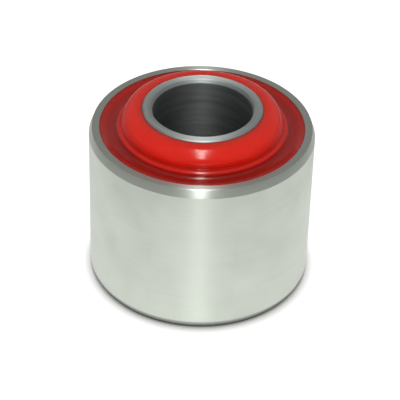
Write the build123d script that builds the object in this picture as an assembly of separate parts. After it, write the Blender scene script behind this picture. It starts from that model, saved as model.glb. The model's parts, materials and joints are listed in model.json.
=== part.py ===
"""Polyurethane suspension bushing: a turned steel shell, a moulded red polyurethane element
and a steel inner sleeve that takes the through bolt.

Millimetres, +Z up. The origin is on the bushing's axis, in the plane of the inner sleeve's lower
end, on which the bushing stands. Every piece is turned or moulded round the Z axis.
"""
import os

from build123d import *

# Outer sleeve: a steel tube with a long lead chamfer at both ends, so that it starts straight
# in its housing when it is pressed in
OUTER_SLEEVE_DIAMETER = 32.0
OUTER_SLEEVE_WALL = 1.5
LEAD_CHAMFER_RADIAL = 0.45
LEAD_CHAMFER_AXIAL = 1.2
OUTER_SLEEVE_MOUTH_BREAK = 0.12

# Inner sleeve: the crush tube between the two bracket cheeks, longer than the outer sleeve by
# what stands out of it at either end
BORE_DIAMETER = 14.1
INNER_SLEEVE_WALL = 1.45
INNER_SLEEVE_LENGTH = 27.2
UPPER_STAND_OUT = 3.0
LOWER_STAND_OUT = 0.2
BORE_LEAD_RADIAL = 0.25
BORE_LEAD_AXIAL = 0.6
INNER_SLEEVE_EDGE_RADIAL = 0.2
INNER_SLEEVE_EDGE_AXIAL = 0.15

# Running clearance between the inner sleeve and the polyurethane that it turns in
SLEEVE_CLEARANCE = 0.03

# Polyurethane element, upper end: a raised boss with a rounded shoulder, a narrow ledge at its
# foot and a shallow groove that lets the material move under load. The widths of the boss and
# the ledge are shares of the moulding's thickness, so both stay inside any outer sleeve.
BOSS_WIDTH_SHARE = 0.452
LEDGE_WIDTH_SHARE = 0.137
BOSS_SET_BACK = 0.12
BOSS_SHOULDER_RADIUS = 1.5
BOSS_DRAFT = 0.05
BOSS_MOUTH_BREAK = 0.1
LEDGE_HEIGHT = 0.3
LEDGE_EDGE_CHAMFER = 0.2

# The groove fills the rest of the moulding's thickness; its floor lies between these two shares
# of the groove's own width
GROOVE_FLOOR_START_SHARE = 0.025
GROOVE_FLOOR_END_SHARE = 0.51
GROOVE_DEPTH = 0.6
GROOVE_ROOT_RADIUS = 0.4

# Polyurethane element, lower end: the same boss, set just inside the outer sleeve, and its groove
LOWER_FACE_RECESS = 0.3
LOWER_BOSS_CHAMFER = 0.6
LOWER_GROOVE_DEPTH = 1.9
LOWER_GROOVE_FLOOR = 0.6

# Levels and radii that follow from the sizes above
outer_radius = OUTER_SLEEVE_DIAMETER / 2
seat_radius = outer_radius - OUTER_SLEEVE_WALL
bore_radius = BORE_DIAMETER / 2
inner_sleeve_radius = bore_radius + INNER_SLEEVE_WALL
element_bore_radius = inner_sleeve_radius + SLEEVE_CLEARANCE

element_wall = seat_radius - element_bore_radius
boss_radius = element_bore_radius + BOSS_WIDTH_SHARE * element_wall
ledge_radius = boss_radius + LEDGE_WIDTH_SHARE * element_wall
groove_width = seat_radius - ledge_radius
groove_floor_start = ledge_radius + GROOVE_FLOOR_START_SHARE * groove_width
groove_floor_end = ledge_radius + GROOVE_FLOOR_END_SHARE * groove_width

inner_sleeve_top = INNER_SLEEVE_LENGTH
upper_rim = inner_sleeve_top - UPPER_STAND_OUT
lower_rim = LOWER_STAND_OUT
boss_top = inner_sleeve_top - BOSS_SET_BACK
ledge_top = upper_rim + LEDGE_HEIGHT
groove_floor = upper_rim - GROOVE_DEPTH
lower_face = lower_rim + LOWER_FACE_RECESS
lower_groove_floor = lower_rim + LOWER_GROOVE_DEPTH
lower_groove_radius = (boss_radius + seat_radius) / 2


def turned(points, rounded=()):
    """A solid turned round Z from a closed outline of (radius, height) points.

    rounded holds (radius, height, fillet radius) for each corner that is rounded.
    """
    with BuildPart() as piece:
        with BuildSketch(Plane.XZ) as outline:
            with BuildLine():
                Polyline(*points, close=True)
            make_face()
            for radius, height, fillet_radius in rounded:
                corner = outline.vertices().sort_by_distance((radius, height))[0]
                fillet(corner, radius=fillet_radius)
        revolve(axis=Axis.Z)
    return piece.part


def outer_sleeve():
    """Steel shell: outside turned, ends faced, lead chamfers on the outer corners."""
    face_radius = outer_radius - LEAD_CHAMFER_RADIAL
    mouth_radius = seat_radius + OUTER_SLEEVE_MOUTH_BREAK
    return turned(
        [
            (seat_radius, lower_rim + OUTER_SLEEVE_MOUTH_BREAK),
            (mouth_radius, lower_rim),
            (face_radius, lower_rim),
            (outer_radius, lower_rim + LEAD_CHAMFER_AXIAL),
            (outer_radius, upper_rim - LEAD_CHAMFER_AXIAL),
            (face_radius, upper_rim),
            (mouth_radius, upper_rim),
            (seat_radius, upper_rim - OUTER_SLEEVE_MOUTH_BREAK),
        ]
    )


def inner_sleeve():
    """Steel crush tube: steep lead for the bolt at both mouths, outer corners chamfered."""
    mouth_radius = bore_radius + BORE_LEAD_RADIAL
    edge_radius = inner_sleeve_radius - INNER_SLEEVE_EDGE_RADIAL
    return turned(
        [
            (bore_radius, BORE_LEAD_AXIAL),
            (mouth_radius, 0),
            (edge_radius, 0),
            (inner_sleeve_radius, INNER_SLEEVE_EDGE_AXIAL),
            (inner_sleeve_radius, inner_sleeve_top - INNER_SLEEVE_EDGE_AXIAL),
            (edge_radius, inner_sleeve_top),
            (mouth_radius, inner_sleeve_top),
            (bore_radius, inner_sleeve_top - BORE_LEAD_AXIAL),
        ]
    )


def polyurethane_element():
    """Moulded element: bore for the sleeve, boss, ledge and groove above, flush boss below."""
    mouth_radius = element_bore_radius + BOSS_MOUTH_BREAK
    upper_end = [
        (seat_radius, upper_rim),
        (groove_floor_end, groove_floor),
        (groove_floor_start, groove_floor),
        (ledge_radius, ledge_top - LEDGE_EDGE_CHAMFER),
        (ledge_radius - LEDGE_EDGE_CHAMFER, ledge_top),
        (boss_radius + BOSS_DRAFT, ledge_top),
        (boss_radius, boss_top),
        (mouth_radius, boss_top),
        (element_bore_radius, boss_top - BOSS_MOUTH_BREAK),
    ]
    lower_end = [
        (element_bore_radius, lower_face + BOSS_MOUTH_BREAK),
        (mouth_radius, lower_face),
        (boss_radius - LOWER_BOSS_CHAMFER, lower_face),
        (boss_radius, lower_face + LOWER_BOSS_CHAMFER),
        (lower_groove_radius - LOWER_GROOVE_FLOOR / 2, lower_groove_floor),
        (lower_groove_radius + LOWER_GROOVE_FLOOR / 2, lower_groove_floor),
        (seat_radius, lower_face),
    ]
    rounded = [
        (groove_floor_start, groove_floor, GROOVE_ROOT_RADIUS),
        (boss_radius, boss_top, BOSS_SHOULDER_RADIUS),
    ]
    return turned(upper_end + lower_end, rounded)


PIECES = {
    "outer_sleeve": outer_sleeve,
    "polyurethane_element": polyurethane_element,
    "inner_sleeve": inner_sleeve,
}

os.makedirs("parts", exist_ok=True)
for name, make_piece in PIECES.items():
    export_step(make_piece(), f"parts/{name}.step")
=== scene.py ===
"""Looks of the polyurethane bushing: its three turned and moulded pieces, their finishes, and the
table-top studio that it is photographed in. Lengths are metres; MM turns millimetres into them.
"""
import json
import math

import bmesh
import bpy
from bpy.props import FloatProperty, FloatVectorProperty, IntProperty, PointerProperty
from mathutils import Matrix, Vector


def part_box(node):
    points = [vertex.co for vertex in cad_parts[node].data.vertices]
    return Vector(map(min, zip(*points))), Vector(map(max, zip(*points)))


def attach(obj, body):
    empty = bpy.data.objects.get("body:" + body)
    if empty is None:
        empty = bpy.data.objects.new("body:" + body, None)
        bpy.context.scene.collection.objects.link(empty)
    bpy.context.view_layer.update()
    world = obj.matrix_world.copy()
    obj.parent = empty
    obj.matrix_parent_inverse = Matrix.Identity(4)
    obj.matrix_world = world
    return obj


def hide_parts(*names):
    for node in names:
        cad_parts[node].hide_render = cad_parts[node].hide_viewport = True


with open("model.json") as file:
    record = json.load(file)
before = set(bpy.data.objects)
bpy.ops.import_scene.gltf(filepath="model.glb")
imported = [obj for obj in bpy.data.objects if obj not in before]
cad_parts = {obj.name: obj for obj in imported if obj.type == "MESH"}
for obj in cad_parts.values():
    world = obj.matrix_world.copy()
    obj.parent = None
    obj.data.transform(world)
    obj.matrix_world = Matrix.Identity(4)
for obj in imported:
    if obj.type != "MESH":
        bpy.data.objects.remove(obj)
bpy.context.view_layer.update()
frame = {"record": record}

bl_info = {
    "name": "Polyurethane Bushing",
    "version": (1, 0, 0),
    "blender": (4, 2, 0),
    "location": "3D View > Sidebar > Bushing",
    "description": "Models a steel-sleeved polyurethane bushing and its table-top studio",
    "category": "Add Mesh",
}

MM = 0.001
IMAGE_SIDE = 400
SENSOR_WIDTH = 36.0

# From the middle of the table to its edge
TABLE_REACH = 3.0

# Angle that one facet of a rounded corner covers, the fewest facets of such a corner, and the
# distance within which the seam's points are one point
ARC_STEP = math.radians(5)
ARC_LEAST = 3
MERGE_DISTANCE = 0.0005 * MM

# Handling leaves patches of other gloss on steel: their width, and how far the roughness strays
HANDLING_PATCH = 6 * MM
HANDLING_SPREAD = 0.1

# A polished mould leaves ripples in polyurethane, and mixing leaves clouds of pigment in it
RIPPLE_WIDTH = 2.5 * MM
RIPPLE_HEIGHT = 0.02 * MM
CLOUD_WIDTH = 5 * MM
CLOUD_DARKEST = 0.9
CLOUD_LIGHTEST = 1.06

# How far light spreads inside the polyurethane, and the share of that for red, green and blue
SPREAD_REACH = 2.5 * MM
SPREAD_SHARES = (1.0, 0.15, 0.08)

# Turn of the stretched glare, as a share of a whole turn
QUARTER_TURN = 0.25

# Noise seldom leaves this range, so its ends are taken for the ends of a pattern
NOISE_LOW = 0.3
NOISE_HIGH = 0.7

# Width over which the painted shade on a bore's wall fades out into the steel beyond it
BORE_SHADE_BLEND = 0.05 * MM

outer_low, outer_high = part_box("outer_sleeve")
element_low, element_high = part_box("polyurethane_element")
inner_low, inner_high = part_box("inner_sleeve")
bolt_bore = next(row for row in frame["record"]["mounts"] if row["name"] == "bolt_bore")


def linear(hex_colour):
    """Turns an sRGB hex colour into Blender's linear red, green and blue."""
    channels = [int(hex_colour[i : i + 2], 16) / 255 for i in (0, 2, 4)]
    return tuple(c / 12.92 if c <= 0.04045 else ((c + 0.055) / 1.055) ** 2.4 for c in channels)


def size_property(name, description, millimetres):
    """A length that the user can change, given in millimetres."""
    return FloatProperty(
        name=name,
        description=description,
        default=millimetres * MM,
        min=0,
        precision=5,
        subtype="DISTANCE",
        unit="LENGTH",
    )


def colour_property(name, description, hex_colour):
    """A colour that the user can change, given as sRGB hex."""
    return FloatVectorProperty(
        name=name,
        description=description,
        default=linear(hex_colour),
        size=3,
        min=0,
        max=1,
        subtype="COLOR",
    )


def share_property(name, description, value):
    """A number from 0 to 1 that the user can change."""
    return FloatProperty(
        name=name, description=description, default=value, min=0, max=1, subtype="FACTOR"
    )


def angle_property(name, description, radians):
    """An angle that the user can change."""
    return FloatProperty(
        name=name, description=description, default=radians, subtype="ANGLE", unit="ROTATION"
    )


class BushingSizes(bpy.types.PropertyGroup):
    """Sizes of the turned and moulded outlines that the frame's boxes don't give."""

    facets: IntProperty(name="Facets", description="Facets round each piece", default=288, min=24)
    steel_break: size_property("Steel edge break", "Radius on the steel's turned edges", 0.1)

    shell_wall: size_property("Shell wall", "Wall of the outer sleeve", 1.5)
    lead_radial: size_property("Lead chamfer, radial", "How far the lead chamfer cuts in", 0.45)
    lead_axial: size_property("Lead chamfer, axial", "How far the lead chamfer runs along", 1.2)

    bore_radius: size_property(
        "Bore radius", "Radius of the bolt's bore", bolt_bore["dims"]["r_mm"]
    )
    bore_lead_radial: size_property(
        "Bore lead, radial", "How far the bolt's lead cuts into the wall", 0.25
    )
    bore_lead_axial: size_property(
        "Bore lead, axial", "How far the bolt's lead runs down the bore", 0.6
    )
    edge_radial: size_property(
        "Tube edge, radial", "Width of the chamfer on the tube's outer corner", 0.2
    )
    edge_axial: size_property(
        "Tube edge, axial", "Height of the chamfer on the tube's outer corner", 0.15
    )

    running_gap: size_property("Running gap", "Clearance of the tube in the element", 0.03)
    boss_radius: size_property("Boss radius", "Radius of the raised boss", 11.23)
    boss_draft: size_property("Boss draft", "How much wider the boss is at its foot", 0.05)
    boss_round: size_property("Boss round", "Radius on the boss's shoulder", 2.1)
    boss_foot: size_property("Boss foot", "Hollow radius where the boss meets its ledge", 0.05)
    ledge_radius: size_property("Ledge radius", "Radius of the ledge at the boss's foot", 12.05)
    ledge_height: size_property("Ledge height", "Height of the ledge above the shell's rim", 0.3)
    ledge_round: size_property("Ledge round", "Radius on the ledge's outer edge", 0.42)
    groove_start: size_property("Groove start", "Radius where the groove's floor starts", 12.12)
    groove_end: size_property("Groove end", "Radius where the groove's floor ends", 13.3)
    groove_depth: size_property("Groove depth", "Depth of the upper groove below the rim", 0.6)
    groove_root: size_property("Groove root", "Hollow radius beside the ledge", 0.42)
    groove_sweep: size_property(
        "Groove sweep", "Hollow radius where the floor rises to the shell", 1.4
    )
    seat_round: size_property("Seat round", "Radius where the element meets the shell", 0.05)
    mouth_round: size_property("Mouth round", "Radius where the element meets the tube", 0.1)
    lower_chamfer: size_property("Lower boss edge", "Bevel on the lower boss's edge", 0.6)
    lower_height: size_property("Lower groove height", "Height of its floor over the table", 2.1)
    lower_radius: size_property(
        "Lower groove radius", "Radius of the middle of the lower groove", 12.865
    )
    lower_floor: size_property("Lower groove floor", "Width of the lower groove's floor", 0.6)
    lower_round: size_property("Lower rounds", "Radius in the lower groove and on its boss", 0.5)


class BushingFinish(bpy.types.PropertyGroup):
    """Colours and gloss of the three materials."""

    shell_steel: colour_property("Shell steel", "Bright steel of the outer sleeve", "DDE3D9")
    shell_roughness: share_property("Shell roughness", "Roughness of the outer sleeve", 0.335)

    tube_steel: colour_property("Tube steel", "Duller steel of the inner sleeve", "D5DCD9")
    tube_roughness: share_property("Tube roughness", "Roughness of the inner sleeve", 0.6)
    # Painted shade: the share by which the bore's wall is darkened
    bore_painted_shade: share_property("Drawn shade", "Shade of a bore that is left as drawn", 0.42)

    polyurethane: colour_property("Polyurethane", "Red of the moulded element", "FF2610")
    polyurethane_roughness: share_property(
        "Polyurethane roughness", "Roughness of the element", 0.17
    )
    # Painted shade: how dark the groove's floor is made, and how far above the ledge that reaches
    painted_groove_shade: share_property("Sunk shade", "Shade of the red on the groove's floor", 0.45)
    painted_groove_rise: size_property("Sunk rise", "Height above the ledge where that shade ends", 0.6)


class BushingStudio(bpy.types.PropertyGroup):
    """The camera's place, the level of the light, and the table's white."""

    elevation: angle_property("Elevation", "Camera's angle above the table", 0.6343)
    roll: angle_property("Roll", "Camera's turn about its view", -0.0288)
    distance: FloatProperty(
        name="Distance", description="Camera's distance in shell radii", default=16.1177, min=1
    )
    focal_pixels: FloatProperty(
        name="Focal length", description="Focal length in image pixels", default=1778.29
    )
    centre_x: FloatProperty(
        name="Centre X", description="Pixel column of the aimed point", default=200.276
    )
    centre_y: FloatProperty(
        name="Centre Y", description="Pixel row of the aimed point", default=193.34
    )

    world_strength: FloatProperty(
        name="Room light", description="Strength of the even room light", default=0.265
    )
    strip_power: FloatProperty(
        name="Strip power",
        description="Power of the sloping strip lamp",
        default=17.0,
        unit="POWER",
    )
    strip_place: FloatVectorProperty(
        name="Strip place",
        description="Middle of the sloping strip lamp",
        default=(0.0, -0.825, 1.429),
        size=3,
        subtype="TRANSLATION",
        unit="LENGTH",
    )
    strip_width: size_property("Strip width", "Width of the sloping strip lamp", 192)
    strip_length: size_property("Strip length", "Length of the sloping strip lamp", 2310)

    laminate: colour_property("Laminate", "White of the table", "F4F4F2")
    laminate_roughness: share_property("Laminate roughness", "Roughness of the table", 0.7)
    seen_glow: share_property("Seen glow", "White added to the table that is seen", 0.6)
    mirrored_glow: share_property("Mirrored glow", "White added to the table in gloss", 0.34)
    mirror_near: size_property("Mirror, near", "Where gloss starts to lose the table", 50)
    mirror_far: size_property("Mirror, far", "Where gloss has lost the table", 170)


def add_node(tree, kind, inputs=None, **settings):
    """Adds a node, sets its properties, and fills or links its inputs."""
    node = tree.nodes.new(kind)
    for name, value in settings.items():
        setattr(node, name, value)
    for key, value in (inputs or {}).items():
        if isinstance(value, bpy.types.NodeSocket):
            tree.links.new(value, node.inputs[key])
        else:
            node.inputs[key].default_value = value
    return node


def new_material(name):
    """An empty node material and its tree."""
    material = bpy.data.materials.new(name)
    material.use_nodes = True
    material.node_tree.nodes.clear()
    return material, material.node_tree


def axis_distance(tree, place):
    """How far a point is from the Z axis, round which every piece is turned."""
    flat = add_node(tree, "ShaderNodeVectorMath", {0: place, 1: (1, 1, 0)}, operation="MULTIPLY")
    radius = add_node(
        tree, "ShaderNodeVectorMath", {0: flat.outputs["Vector"]}, operation="LENGTH"
    )
    return radius.outputs["Value"]


def turning_vector(tree, place, pitch, length):
    """Coordinates in which noise runs in lines round the Z axis, pitch apart and length long.

    Height and radius are added, so the lines run round a tube's wall and in rings on its ends.
    """
    parts = add_node(tree, "ShaderNodeSeparateXYZ", {"Vector": place})
    across = add_node(
        tree,
        "ShaderNodeMath",
        {0: parts.outputs["Z"], 1: axis_distance(tree, place)},
        operation="ADD",
    )
    joined = add_node(
        tree,
        "ShaderNodeCombineXYZ",
        {"X": parts.outputs["X"], "Y": parts.outputs["Y"], "Z": across.outputs["Value"]},
    )
    scaled = add_node(
        tree,
        "ShaderNodeMapping",
        {"Vector": joined.outputs["Vector"], "Scale": (1 / length, 1 / length, 1 / pitch)},
    )
    return scaled.outputs["Vector"]


def painted_corner_shade(tree, reach, closed):
    """Painted shade for corners and recesses: the colour is darkened where little light comes in.

    It looks for other surfaces within reach. It is 1 in the open and 0 where only the closed
    share is left open, so below 0 that share leaves some brightness in the deepest corner.
    """
    open_share = add_node(tree, "ShaderNodeAmbientOcclusion", {"Distance": reach}, samples=8)
    shade = add_node(
        tree, "ShaderNodeMapRange", {"Value": open_share.outputs["AO"], "From Min": closed}
    )
    return shade.outputs["Result"]


def shaded_colour(tree, colour, *shades):
    """A colour darkened by all of these shades."""
    level = shades[0]
    for shade in shades[1:]:
        product = add_node(tree, "ShaderNodeMath", {0: level, 1: shade}, operation="MULTIPLY")
        level = product.outputs["Value"]
    tint = add_node(tree, "ShaderNodeVectorMath", {0: colour, "Scale": level}, operation="SCALE")
    return tint.outputs["Vector"]


def turned_steel(
    name,
    colour,
    roughness,
    *,
    line_pitch,
    line_length,
    line_depth,
    line_contrast,
    recess_reach,
    recess_closed,
    glare_stretch,
    painted_bore_radius,
    bore_painted_shade,
):
    """Low-carbon steel tube, turned on a lathe: tool lines run round it and stretch its glare.

    The wall within painted_bore_radius is darkened by bore_painted_shade: painted shade down the
    bore.
    A lathe's lines are 0.1 to 0.2 mm apart, which is too fine to show here, so they are drawn
    coarser. The quarter turn of the anisotropy lays the glare across them, along the tube.
    """
    material, tree = new_material(name)
    place = add_node(tree, "ShaderNodeTexCoord").outputs["Object"]
    lines = add_node(
        tree,
        "ShaderNodeTexNoise",
        {
            "Vector": turning_vector(tree, place, line_pitch, line_length),
            "Scale": 1.0,
            "Detail": 4.0,
            "Roughness": 0.6,
        },
    )
    tone = add_node(
        tree,
        "ShaderNodeMapRange",
        {
            "Value": lines.outputs["Fac"],
            "From Min": NOISE_LOW,
            "From Max": NOISE_HIGH,
            "To Min": 1 - line_contrast,
            "To Max": 1 + line_contrast,
        },
    )
    # Painted shade: the bore's wall inside painted_bore_radius is darkened
    bore_darkening = add_node(
        tree,
        "ShaderNodeMapRange",
        {
            "Value": axis_distance(tree, place),
            "From Min": painted_bore_radius,
            "From Max": painted_bore_radius + BORE_SHADE_BLEND,
            "To Min": bore_painted_shade,
        },
    )
    handling = add_node(
        tree,
        "ShaderNodeTexNoise",
        {"Vector": place, "Scale": 1 / HANDLING_PATCH, "Detail": 5.0, "Roughness": 0.55},
    )
    gloss = add_node(
        tree,
        "ShaderNodeMapRange",
        {
            "Value": handling.outputs["Fac"],
            "From Min": NOISE_LOW,
            "From Max": NOISE_HIGH,
            "To Min": roughness * (1 - HANDLING_SPREAD),
            "To Max": roughness * (1 + HANDLING_SPREAD),
        },
    )
    bump = add_node(
        tree, "ShaderNodeBump", {"Distance": line_depth, "Height": lines.outputs["Fac"]}
    )
    tangent = add_node(tree, "ShaderNodeTangent", direction_type="RADIAL", axis="Z")
    # Painted shade in the corners
    recess = painted_corner_shade(tree, recess_reach, recess_closed)
    shader = add_node(
        tree,
        "ShaderNodeBsdfPrincipled",
        {
            "Base Color": shaded_colour(
                tree, colour, tone.outputs["Result"], recess, bore_darkening.outputs["Result"]
            ),
            "Metallic": 1.0,
            "Roughness": gloss.outputs["Result"],
            "Normal": bump.outputs["Normal"],
            "Anisotropic": glare_stretch,
            "Anisotropic Rotation": QUARTER_TURN,
            "Tangent": tangent.outputs["Tangent"],
        },
    )
    add_node(tree, "ShaderNodeOutputMaterial", {"Surface": shader.outputs["BSDF"]})
    return material


def moulded_polyurethane(finish, groove_floor, ledge_top):
    """Cast polyurethane elastomer from a polished steel mould: glossy, with a faint ripple.

    Light enters it and comes out redder. Down in the groove, where it lies sunk between the
    sleeves, the red is darkened with painted shade, and its corners get painted shade too.
    """
    material, tree = new_material("moulded_red_polyurethane")
    place = add_node(tree, "ShaderNodeTexCoord").outputs["Object"]
    ripple = add_node(
        tree,
        "ShaderNodeTexNoise",
        {"Vector": place, "Scale": 1 / RIPPLE_WIDTH, "Detail": 3.0, "Roughness": 0.5},
    )
    cloud = add_node(
        tree,
        "ShaderNodeTexNoise",
        {"Vector": place, "Scale": 1 / CLOUD_WIDTH, "Detail": 4.0, "Roughness": 0.6},
    )
    tone = add_node(
        tree,
        "ShaderNodeMapRange",
        {
            "Value": cloud.outputs["Fac"],
            "From Min": NOISE_LOW,
            "From Max": NOISE_HIGH,
            "To Min": CLOUD_DARKEST,
            "To Max": CLOUD_LIGHTEST,
        },
    )
    parts = add_node(tree, "ShaderNodeSeparateXYZ", {"Vector": place})
    # Painted shade, darker towards the groove's floor
    groove_darkening = add_node(
        tree,
        "ShaderNodeMapRange",
        {
            "Value": parts.outputs["Z"],
            "From Min": groove_floor,
            "From Max": ledge_top + finish.painted_groove_rise,
            "To Min": finish.painted_groove_shade,
        },
    )
    bump = add_node(
        tree, "ShaderNodeBump", {"Distance": RIPPLE_HEIGHT, "Height": ripple.outputs["Fac"]}
    )
    # Painted shade in the corners; the negative closed share keeps some red in the deepest one
    recess = painted_corner_shade(tree, reach=3 * MM, closed=-0.8)
    shader = add_node(
        tree,
        "ShaderNodeBsdfPrincipled",
        {
            "Base Color": shaded_colour(
                tree,
                tuple(finish.polyurethane),
                tone.outputs["Result"],
                recess,
                groove_darkening.outputs["Result"],
            ),
            "Roughness": finish.polyurethane_roughness,
            "Normal": bump.outputs["Normal"],
            "IOR": 1.55,
            "Sheen Weight": 0.12,
            "Sheen Roughness": 0.4,
            "Subsurface Weight": 1.0,
            "Subsurface Radius": SPREAD_SHARES,
            "Subsurface Scale": SPREAD_REACH,
        },
    )
    add_node(tree, "ShaderNodeOutputMaterial", {"Surface": shader.outputs["BSDF"]})
    return material


def white_laminate(studio):
    """Matt white laminate, pressed on board: the white ground under the bushing.

    White is added where the camera sees it, and where gloss mirrors it close to the bushing.
    Further out gloss sees it dark, a painted dark reflection. The added white falls off at the
    bushing's foot, a painted contact shadow.
    """
    material, tree = new_material("matt_white_laminate")
    ray = add_node(tree, "ShaderNodeLightPath")
    place = add_node(tree, "ShaderNodeTexCoord").outputs["Object"]
    reach = add_node(tree, "ShaderNodeVectorMath", {0: place}, operation="LENGTH")
    near = add_node(
        tree,
        "ShaderNodeMapRange",
        {
            "Value": reach.outputs["Value"],
            "From Min": studio.mirror_near,
            "From Max": studio.mirror_far,
            "To Min": 1.0,
            "To Max": 0.0,
        },
    )
    near_gloss = add_node(
        tree,
        "ShaderNodeMath",
        {0: ray.outputs["Is Glossy Ray"], 1: near.outputs["Result"]},
        operation="MULTIPLY",
    )
    # Painted dark reflection: gloss further out sees the table without its white
    far_gloss = add_node(
        tree,
        "ShaderNodeMath",
        {0: ray.outputs["Is Glossy Ray"], 1: near_gloss.outputs["Value"]},
        operation="SUBTRACT",
    )
    painted_dark_reflection = add_node(
        tree, "ShaderNodeMath", {0: 1.0, 1: far_gloss.outputs["Value"]}, operation="SUBTRACT"
    )
    shader = add_node(
        tree,
        "ShaderNodeBsdfPrincipled",
        {
            "Base Color": shaded_colour(tree, tuple(studio.laminate), painted_dark_reflection.outputs["Value"]),
            "Roughness": studio.laminate_roughness,
        },
    )
    seen = add_node(
        tree,
        "ShaderNodeMath",
        {0: ray.outputs["Is Camera Ray"], 1: studio.seen_glow},
        operation="MULTIPLY",
    )
    added = add_node(
        tree,
        "ShaderNodeMath",
        {0: near_gloss.outputs["Value"], 1: studio.mirrored_glow, 2: seen.outputs["Value"]},
        operation="MULTIPLY_ADD",
    )
    # Painted contact shadow: the added white fades where the table meets the bushing
    level = add_node(
        tree,
        "ShaderNodeMath",
        {0: added.outputs["Value"], 1: painted_corner_shade(tree, reach=2 * MM, closed=0.4)},
        operation="MULTIPLY",
    )
    glow = add_node(tree, "ShaderNodeEmission", {"Strength": level.outputs["Value"]})
    both = add_node(
        tree, "ShaderNodeAddShader", {0: shader.outputs["BSDF"], 1: glow.outputs["Emission"]}
    )
    add_node(tree, "ShaderNodeOutputMaterial", {"Surface": both.outputs["Shader"]})
    return material


def round_corner(bm, corner, radius):
    """Rounds one corner of a wire outline to an arc of this radius."""
    arms = [edge.other_vert(corner).co - corner.co for edge in corner.link_edges]
    turn = math.pi - arms[0].angle(arms[1])
    bmesh.ops.bevel(
        bm,
        geom=[corner],
        offset=radius * math.tan(turn / 2),
        offset_type="OFFSET",
        segments=max(ARC_LEAST, round(turn / ARC_STEP)),
        profile=0.5,
        affect="VERTICES",
        material=-1,
    )


def turned_piece(name, outline, facets):
    """A piece turned round Z from a closed outline of (radius, height, corner radius) points."""
    bm = bmesh.new()
    corners = [bm.verts.new((radius, 0, height)) for radius, height, _ in outline]
    for here, there in zip(corners, corners[1:] + corners[:1]):
        bm.edges.new((here, there))
    for corner, (_, _, corner_radius) in zip(corners, outline):
        if corner_radius:
            round_corner(bm, corner, corner_radius)
    bmesh.ops.spin(
        bm,
        geom=bm.verts[:] + bm.edges[:],
        cent=(0, 0, 0),
        axis=(0, 0, 1),
        angle=2 * math.pi,
        steps=facets,
        use_merge=True,
    )
    bmesh.ops.remove_doubles(bm, verts=bm.verts, dist=MERGE_DISTANCE)
    bmesh.ops.recalc_face_normals(bm, faces=bm.faces)
    for face in bm.faces:
        face.smooth = True
    mesh = bpy.data.meshes.new(name)
    bm.to_mesh(mesh)
    bm.free()
    piece = bpy.data.objects.new(name, mesh)
    bpy.context.scene.collection.objects.link(piece)
    even = piece.modifiers.new("Even normals", "WEIGHTED_NORMAL")
    even.keep_sharp = True
    return piece


class BUSHING_OT_outer_sleeve(bpy.types.Operator):
    """Turn the steel outer sleeve with its lead chamfers"""

    bl_idname = "bushing.outer_sleeve"
    bl_label = "Outer Sleeve"

    def execute(self, context):
        sizes = context.scene.bushing_sizes
        finish = context.scene.bushing_finish
        radius = outer_high.x
        seat = radius - sizes.shell_wall
        face = radius - sizes.lead_radial
        low, high = outer_low.z, outer_high.z
        fine = sizes.steel_break
        outline = [
            (seat, low, fine),
            (face, low, fine),
            (radius, low + sizes.lead_axial, fine),
            (radius, high - sizes.lead_axial, fine),
            (face, high, fine),
            (seat, high, fine),
        ]
        sleeve = turned_piece("turned_outer_sleeve", outline, sizes.facets)
        steel = turned_steel(
            "bright_turned_steel",
            tuple(finish.shell_steel),
            finish.shell_roughness,
            line_pitch=0.4 * MM,
            line_length=14 * MM,
            line_depth=0.0015 * MM,
            line_contrast=0.02,
            # Painted shade in the corners, darkest on the lower chamfer by the table
            recess_reach=1.5 * MM,
            recess_closed=0.35,
            glare_stretch=0.9,
            painted_bore_radius=0.0,
            bore_painted_shade=finish.bore_painted_shade,
        )
        sleeve.data.materials.append(steel)
        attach(sleeve, "shell")
        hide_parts("outer_sleeve")
        return {"FINISHED"}


class BUSHING_OT_polyurethane_element(bpy.types.Operator):
    """Mould the red polyurethane element with its boss, ledge and grooves"""

    bl_idname = "bushing.polyurethane_element"
    bl_label = "Polyurethane Element"

    def execute(self, context):
        sizes = context.scene.bushing_sizes
        finish = context.scene.bushing_finish
        seat = element_high.x
        mouth = inner_high.x + sizes.running_gap
        rim = outer_high.z
        low, high = element_low.z, element_high.z
        boss = sizes.boss_radius
        root = boss + sizes.boss_draft
        ledge_top = rim + sizes.ledge_height
        groove_floor = rim - sizes.groove_depth
        lower_inner = sizes.lower_radius - sizes.lower_floor / 2
        lower_outer = sizes.lower_radius + sizes.lower_floor / 2
        outline = [
            (seat, rim, sizes.seat_round),
            (sizes.groove_end, groove_floor, sizes.groove_sweep),
            (sizes.groove_start, groove_floor, sizes.groove_root),
            (sizes.ledge_radius, ledge_top, sizes.ledge_round),
            (root, ledge_top, sizes.boss_foot),
            (boss, high, sizes.boss_round),
            (mouth, high, sizes.mouth_round),
            (mouth, low, sizes.mouth_round),
            (boss - sizes.lower_chamfer, low, sizes.lower_round),
            (boss, low + sizes.lower_chamfer, sizes.lower_round),
            (lower_inner, sizes.lower_height, sizes.lower_round),
            (lower_outer, sizes.lower_height, sizes.lower_round),
            (seat, low, sizes.seat_round),
        ]
        element = turned_piece("moulded_element", outline, sizes.facets)
        element.data.materials.append(moulded_polyurethane(finish, groove_floor, ledge_top))
        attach(element, "shell")
        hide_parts("polyurethane_element")
        return {"FINISHED"}


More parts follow.
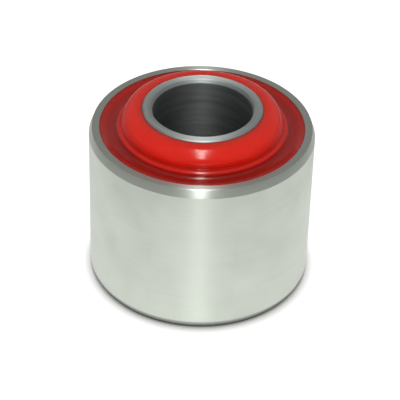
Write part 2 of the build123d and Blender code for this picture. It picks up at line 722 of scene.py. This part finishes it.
class BUSHING_OT_inner_sleeve(bpy.types.Operator):
    """Turn the steel inner sleeve with its bolt bore"""

    bl_idname = "bushing.inner_sleeve"
    bl_label = "Inner Sleeve"

    def execute(self, context):
        sizes = context.scene.bushing_sizes
        finish = context.scene.bushing_finish
        radius = inner_high.x
        low, high = inner_low.z, inner_high.z
        bore = sizes.bore_radius
        mouth = bore + sizes.bore_lead_radial
        edge = radius - sizes.edge_radial
        fine = sizes.steel_break
        outline = [
            (bore, low + sizes.bore_lead_axial, fine),
            (mouth, low, fine),
            (edge, low, fine),
            (radius, low + sizes.edge_axial, fine),
            (radius, high - sizes.edge_axial, fine),
            (edge, high, fine),
            (mouth, high, fine),
            (bore, high - sizes.bore_lead_axial, fine),
        ]
        sleeve = turned_piece("turned_inner_sleeve", outline, sizes.facets)
        steel = turned_steel(
            "bored_tube_steel",
            tuple(finish.tube_steel),
            finish.tube_roughness,
            line_pitch=0.7 * MM,
            line_length=9 * MM,
            line_depth=0.004 * MM,
            line_contrast=0.2,
            # Painted shade in the corners and down the bore
            recess_reach=10 * MM,
            recess_closed=0.0,
            glare_stretch=0.65,
            painted_bore_radius=bore,
            bore_painted_shade=finish.bore_painted_shade,
        )
        sleeve.data.materials.append(steel)
        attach(sleeve, "sleeve")
        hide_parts("inner_sleeve")
        return {"FINISHED"}


class BUSHING_OT_stage(bpy.types.Operator):
    """Set the white table, the room light, the strip lamp and the camera"""

    bl_idname = "bushing.stage"
    bl_label = "Table-Top Studio"

    def execute(self, context):
        studio = context.scene.bushing_studio
        self.add_table(context, studio)
        self.add_light(context, studio)
        self.add_camera(context, studio)
        context.scene.view_settings.view_transform = "Standard"
        return {"FINISHED"}

    def add_table(self, context, studio):
        """The flat table, on which the bushing stands at a height of 0."""
        bm = bmesh.new()
        bmesh.ops.create_grid(bm, x_segments=1, y_segments=1, size=TABLE_REACH)
        mesh = bpy.data.meshes.new("white_table")
        bm.to_mesh(mesh)
        bm.free()
        mesh.materials.append(white_laminate(studio))
        table = bpy.data.objects.new("white_table", mesh)
        context.scene.collection.objects.link(table)

    def add_light(self, context, studio):
        """Even room light, and a strip lamp that slopes up from in front of the table to overhead.

        The lamp faces the bushing, and its length lies in the plane of the Z axis.
        """
        world = bpy.data.worlds.new("plain_room")
        world.use_nodes = True
        background = world.node_tree.nodes["Background"]
        background.inputs["Color"].default_value = (1, 1, 1, 1)
        background.inputs["Strength"].default_value = studio.world_strength
        context.scene.world = world
        strip = bpy.data.lights.new("sloping_strip", "AREA")
        strip.shape = "RECTANGLE"
        strip.size = studio.strip_width
        strip.size_y = studio.strip_length
        strip.energy = studio.strip_power
        lamp = bpy.data.objects.new("sloping_strip", strip)
        lamp.location = studio.strip_place
        lamp.rotation_euler = Vector(studio.strip_place).to_track_quat("Z", "Y").to_euler()
        context.scene.collection.objects.link(lamp)

    def add_camera(self, context, studio):
        """Camera at the photo's angle, aimed at the middle of the outer sleeve."""
        aim = Vector((0, 0, (outer_low.z + outer_high.z) / 2))
        back = Vector((0, -math.cos(studio.elevation), math.sin(studio.elevation)))
        across = Vector((1, 0, 0))
        turn = Matrix((across, back.cross(across), back)).transposed()
        lens = bpy.data.cameras.new("camera")
        lens.sensor_width = SENSOR_WIDTH
        lens.lens = studio.focal_pixels / IMAGE_SIDE * SENSOR_WIDTH
        lens.shift_x = (IMAGE_SIDE / 2 - studio.centre_x) / IMAGE_SIDE
        lens.shift_y = (studio.centre_y - IMAGE_SIDE / 2) / IMAGE_SIDE
        camera = bpy.data.objects.new("camera", lens)
        camera.location = aim + back * studio.distance * outer_high.x
        camera.rotation_euler = (turn @ Matrix.Rotation(-studio.roll, 3, "Z")).to_euler()
        context.scene.collection.objects.link(camera)
        context.scene.camera = camera


class BUSHING_PT_sidebar(bpy.types.Panel):
    """Lists the bushing's pieces and settings"""

    bl_idname = "BUSHING_PT_sidebar"
    bl_label = "Polyurethane Bushing"
    bl_space_type = "VIEW_3D"
    bl_region_type = "UI"
    bl_category = "Bushing"

    def draw(self, context):
        layout = self.layout
        for step in STEPS:
            layout.operator(step.bl_idname)
        for group in (
            context.scene.bushing_sizes,
            context.scene.bushing_finish,
            context.scene.bushing_studio,
        ):
            column = layout.column(align=True)
            for name in group.__annotations__:
                column.prop(group, name)


GROUPS = (BushingSizes, BushingFinish, BushingStudio)
STEPS = (
    BUSHING_OT_outer_sleeve,
    BUSHING_OT_polyurethane_element,
    BUSHING_OT_inner_sleeve,
    BUSHING_OT_stage,
)
CLASSES = GROUPS + STEPS + (BUSHING_PT_sidebar,)


def register():
    """Registers the classes and hangs the settings on the scene."""
    for cls in CLASSES:
        bpy.utils.register_class(cls)
    bpy.types.Scene.bushing_sizes = PointerProperty(type=BushingSizes)
    bpy.types.Scene.bushing_finish = PointerProperty(type=BushingFinish)
    bpy.types.Scene.bushing_studio = PointerProperty(type=BushingStudio)


def unregister():
    """Takes the settings and the classes away again."""
    del bpy.types.Scene.bushing_studio
    del bpy.types.Scene.bushing_finish
    del bpy.types.Scene.bushing_sizes
    for cls in reversed(CLASSES):
        bpy.utils.unregister_class(cls)


def main():
    """Makes every piece and the studio."""
    register()
    bpy.ops.bushing.outer_sleeve()
    bpy.ops.bushing.polyurethane_element()
    bpy.ops.bushing.inner_sleeve()
    bpy.ops.bushing.stage()


if __name__ == "__main__":
    main()
